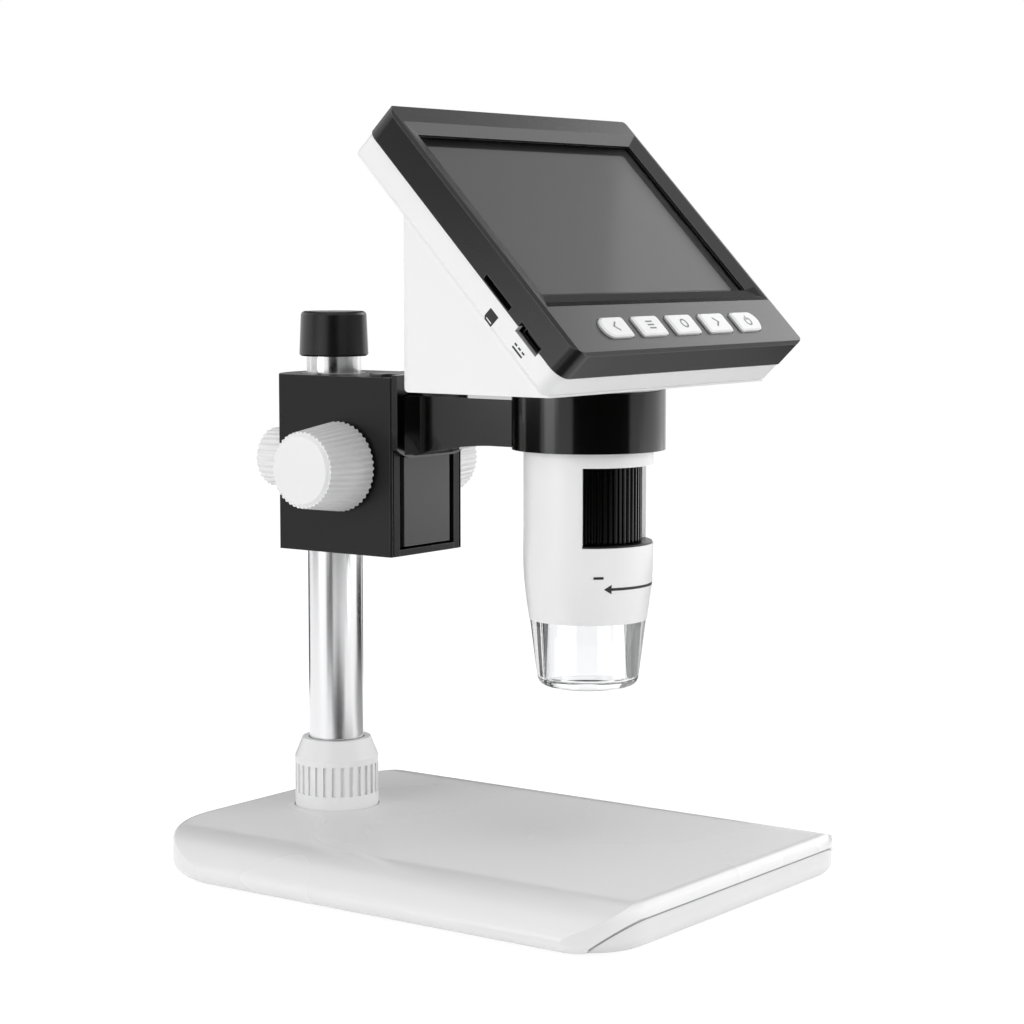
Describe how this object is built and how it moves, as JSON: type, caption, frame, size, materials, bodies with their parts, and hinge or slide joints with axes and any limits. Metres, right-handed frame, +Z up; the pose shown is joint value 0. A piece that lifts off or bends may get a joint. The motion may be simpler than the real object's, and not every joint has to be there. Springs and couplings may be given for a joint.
{
  "type": "digital microscope",
  "caption": "Digital microscope with a tilted screen, push buttons, a lit barrel with a focus wheel, and a rack-driven arm on a weighted column stand.",
  "frame": {"origin": "centre of the base's plan, on the table", "axes": "+X to the user's right, +Y away from the user towards the column, +Z up"},
  "size_m": [0.1292, 0.169, 0.2191],
  "materials": {
    "white_cover": "gloss",
    "white_plastic": "satin gloss",
    "white_tray": "fine texture",
    "ballast": "raw",
    "rubber_feet": "matte",
    "screw_steel": "plain",
    "zinc_socket": "cast",
    "column_chrome": "polished",
    "black_cap": "satin",
    "block_black": "satin",
    "slide_black": "satin",
    "arm_black": "gloss",
    "liner": "low friction",
    "liner_rubber": "matte",
    "brass": "machined",
    "shaft_steel": "ground",
    "anodised": "black anodised",
    "wheel_black": "ribbed, matte",
    "clear_plastic": "clear",
    "lens_glass": "coated",
    "bezel_black": "satin gloss",
    "screen_glass": "clear over a black border",
    "lcd": "dark, switched off",
    "board_green": "lacquered",
    "board_white": "lacquered",
    "led": "translucent",
    "cell_foil": "foil",
    "button_silver": "satin silver"
  },
  "bodies": {
    "base": {"base_cover": "white_cover", "base_tray": "white_tray", "ballast_plate": "ballast", "base_feet": "rubber_feet", "base_screws": "screw_steel", "column_socket": "zinc_socket", "socket_screws": "screw_steel"},
    "collar": {"column_collar": "white_plastic"},
    "column": {"column_tube": "column_chrome", "column_cap": "black_cap"},
    "carriage": {"focus_block": "block_black", "column_liners": "liner", "pinion_bushes": "brass", "stop_plate": "block_black", "stop_screws": "screw_steel", "clamp_insert": "brass"},
    "clamp": {"clamp_knob": "white_plastic", "clamp_screw": "screw_steel"},
    "pinion": {"pinion_shaft": "shaft_steel", "pinion_gear": "brass", "focus_knob_left": "white_plastic", "focus_knob_right": "white_plastic"},
    "slider": {"slide_plate": "slide_black", "focus_rack": "brass", "support_arm": "arm_black", "arm_screws": "screw_steel", "ring_liner": "liner_rubber"},
    "scope": {"barrel_shell": "white_plastic", "barrel_screws": "screw_steel", "optic_tube": "anodised", "thrust_ring": "black_cap", "wheel_clip": "screw_steel", "sensor_board": "board_green", "led_board": "board_white", "led_lamps": "led", "clear_tip": "clear_plastic", "rear_shell": "white_plastic", "bezel": "bezel_black", "cover_glass": "screen_glass", "lcd_panel": "lcd", "main_board": "board_green", "battery": "cell_foil", "button_board": "board_green", "usb_socket": "screw_steel", "card_socket": "screw_steel", "case_screws": "screw_steel"},
    "wheel": {"focus_wheel": "wheel_black"},
    "lens": {"lens_carrier": "anodised", "objective_lens": "lens_glass"},
    "key_left": {"button_left": "button_silver"},
    "key_menu": {"button_menu": "button_silver"},
    "key_ok": {"button_ok": "button_silver"},
    "key_right": {"button_right": "button_silver"},
    "key_power": {"button_power": "button_silver"}
  },
  "joints": [
    {"name": "collar_turn", "type": "hinge", "parent": "base", "child": "collar", "pos_m": [0, 0.0586, 0.0243], "axis": [0, 0, 1], "range_deg": [0, 270]},
    {"name": "column_swivel", "type": "hinge", "parent": "base", "child": "column", "pos_m": [0, 0.0586, 0.02], "axis": [0, 0, 1], "continuous": true},
    {"name": "height_slide", "type": "slide", "parent": "column", "child": "carriage", "axis": [0, 0, 1], "range_m": [-0.042, 0.004]},
    {"name": "clamp_turn", "type": "hinge", "parent": "carriage", "child": "clamp", "pos_m": [0, 0.078, 0.1185], "axis": [0, 1, 0], "range_deg": [0, 270]},
    {"name": "focus_slide", "type": "slide", "parent": "carriage", "child": "slider", "axis": [0, 0, 1], "range_m": [-0.0005, 0.016]},
    {"name": "pinion_turn", "type": "hinge", "parent": "carriage", "child": "pinion", "pos_m": [0, 0.0421, 0.1185], "axis": [1, 0, 0], "range_deg": [-195, 10]},
    {"name": "scope_turn", "type": "hinge", "parent": "slider", "child": "scope", "pos_m": [0, -0.0336, 0.134], "axis": [0, 0, 1], "range_deg": [-45, 45]},
    {"name": "wheel_turn", "type": "hinge", "parent": "scope", "child": "wheel", "pos_m": [0, -0.0336, 0.111], "axis": [0, 0, 1], "range_deg": [-120, 120]},
    {"name": "lens_slide", "type": "slide", "parent": "scope", "child": "lens", "axis": [0, 0, 1], "range_m": [-0.004, 0.004]},
    {"name": "left_press", "type": "slide", "parent": "scope", "child": "key_left", "axis": [0, 0.7193, -0.6947], "range_m": [0, 0.0008], "stiffness_N_per_m": 1500, "springref_m": -0.0006},
    {"name": "menu_press", "type": "slide", "parent": "scope", "child": "key_menu", "axis": [0, 0.7193, -0.6947], "range_m": [0, 0.0008], "stiffness_N_per_m": 1500, "springref_m": -0.0006},
    {"name": "ok_press", "type": "slide", "parent": "scope", "child": "key_ok", "axis": [0, 0.7193, -0.6947], "range_m": [0, 0.0008], "stiffness_N_per_m": 1500, "springref_m": -0.0006},
    {"name": "right_press", "type": "slide", "parent": "scope", "child": "key_right", "axis": [0, 0.7193, -0.6947], "range_m": [0, 0.0008], "stiffness_N_per_m": 1500, "springref_m": -0.0006},
    {"name": "power_press", "type": "slide", "parent": "scope", "child": "key_power", "axis": [0, 0.7193, -0.6947], "range_m": [0, 0.0008], "stiffness_N_per_m": 1500, "springref_m": -0.0006}
  ],
  "couplings": [
    {"joint": "pinion_turn", "follows": "focus_slide", "rad_per_m": -208.33},
    {"joint": "wheel_turn", "follows": "lens_slide", "rad_per_m": 523.5}
  ]
}
